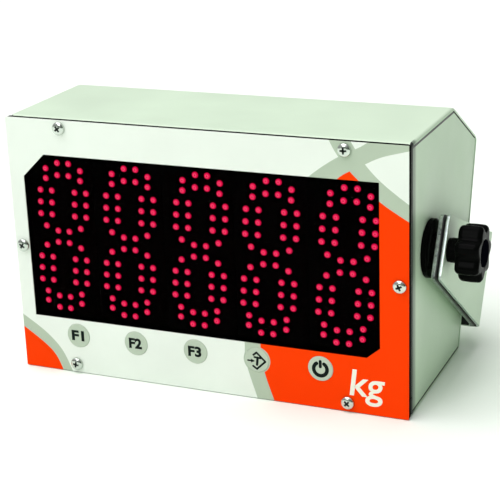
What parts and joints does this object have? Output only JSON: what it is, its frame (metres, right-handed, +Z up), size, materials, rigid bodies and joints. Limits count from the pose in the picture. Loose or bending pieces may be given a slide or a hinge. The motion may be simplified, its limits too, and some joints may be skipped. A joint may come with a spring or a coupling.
{
  "type": "remote numeric display",
  "caption": "Box-shaped remote display with red dot digits behind a dark window, a row of front keys, and a tilting U bracket clamped by a star knob on one side.",
  "frame": {"origin": "on the case's flat bottom, midway between its sides, and half way from the foremost screw head to the rearmost edge of the bracket", "axes": "+X to the right seen from the front, +Y from the front panel to the back, +Z up"},
  "size_m": [0.2453, 0.1222, 0.13],
  "materials": {
    "painted_case": "satin, fine powder coat, pale grey-green",
    "overlay_print": "satin printed polyester, white with grey and orange areas",
    "black_panel": "satin black",
    "black_rubber": "matt",
    "smoked_window": "clear dark acrylic",
    "key_face": "satin printed polyester",
    "zinc_steel": "bright zinc plate",
    "red_led": "tinted clear epoxy",
    "circuit_board": "solder mask",
    "green_plastic": "moulded",
    "transformer_steel": "varnished laminations",
    "brass": "plain",
    "black_plastic": "satin moulded",
    "cap_plastic": "glossy moulded"
  },
  "bodies": {
    "housing": {"case_wrap": "painted_case", "right_side_plate": "painted_case", "left_side_plate": "painted_case", "front_overlay": "overlay_print", "front_panel": "black_panel", "front_gasket": "black_rubber", "window_lens": "smoked_window", "panel_screw_1": "zinc_steel", "rivet_nut_1": "zinc_steel", "panel_screw_2": "zinc_steel", "rivet_nut_2": "zinc_steel", "panel_screw_3": "zinc_steel", "rivet_nut_3": "zinc_steel", "panel_screw_4": "zinc_steel", "rivet_nut_4": "zinc_steel", "panel_screw_5": "zinc_steel", "rivet_nut_5": "zinc_steel", "panel_screw_6": "zinc_steel", "rivet_nut_6": "zinc_steel", "led_digit_1": "red_led", "led_digit_2": "red_led", "led_digit_3": "red_led", "led_digit_4": "red_led", "led_digit_5": "red_led", "display_board": "circuit_board", "keypad_board": "circuit_board", "controller_board": "circuit_board", "terminal_block": "green_plastic", "power_transformer": "transformer_steel", "display_standoff_1": "brass", "board_post_1": "brass", "display_standoff_2": "brass", "board_post_2": "brass", "display_standoff_3": "brass", "board_post_3": "brass", "display_standoff_4": "brass", "board_post_4": "brass", "gland_body": "black_plastic", "gland_cap": "black_plastic", "gland_locknut": "black_plastic", "spacer_left": "black_plastic", "clamp_washer_left": "black_plastic", "weld_nut_left": "zinc_steel", "spacer_right": "black_plastic", "weld_nut_right": "zinc_steel", "pivot_bolt": "zinc_steel"},
    "bracket": {"tilt_bracket": "painted_case"},
    "key_f1": {"key_f1": "key_face"},
    "key_f2": {"key_f2": "key_face"},
    "key_f3": {"key_f3": "key_face"},
    "key_tare": {"key_tare": "key_face"},
    "key_power": {"key_power": "key_face"},
    "washer": {"clamp_washer_right": "black_plastic"},
    "knob": {"star_knob": "black_plastic", "knob_cap": "cap_plastic", "knob_stud": "zinc_steel"}
  },
  "joints": [
    {"name": "bracket_tilt", "type": "hinge", "parent": "housing", "child": "bracket", "pos_m": [0, -0.02707, 0.0732], "axis": [1, 0, 0], "range_deg": [-1.5, 28]},
    {"name": "key_f1_press", "type": "slide", "parent": "housing", "child": "key_f1", "axis": [0, 1, 0], "range_m": [0, 0.0005], "stiffness_N_per_m": 600, "springref_m": -0.001},
    {"name": "key_f2_press", "type": "slide", "parent": "housing", "child": "key_f2", "axis": [0, 1, 0], "range_m": [0, 0.0005], "stiffness_N_per_m": 600, "springref_m": -0.001},
    {"name": "key_f3_press", "type": "slide", "parent": "housing", "child": "key_f3", "axis": [0, 1, 0], "range_m": [0, 0.0005], "stiffness_N_per_m": 600, "springref_m": -0.001},
    {"name": "key_tare_press", "type": "slide", "parent": "housing", "child": "key_tare", "axis": [0, 1, 0], "range_m": [0, 0.0005], "stiffness_N_per_m": 600, "springref_m": -0.001},
    {"name": "key_power_press", "type": "slide", "parent": "housing", "child": "key_power", "axis": [0, 1, 0], "range_m": [0, 0.0005], "stiffness_N_per_m": 600, "springref_m": -0.001},
    {"name": "knob_turn", "type": "hinge", "parent": "washer", "child": "knob", "pos_m": [0.115, -0.02707, 0.0732], "axis": [1, 0, 0], "range_deg": [0, 540]},
    {"name": "knob_travel", "type": "slide", "parent": "housing", "child": "washer", "axis": [1, 0, 0], "range_m": [0, 0.0012]}
  ],
  "couplings": [
    {"joint": "knob_turn", "follows": "knob_travel", "rad_per_m": 7854}
  ]
}
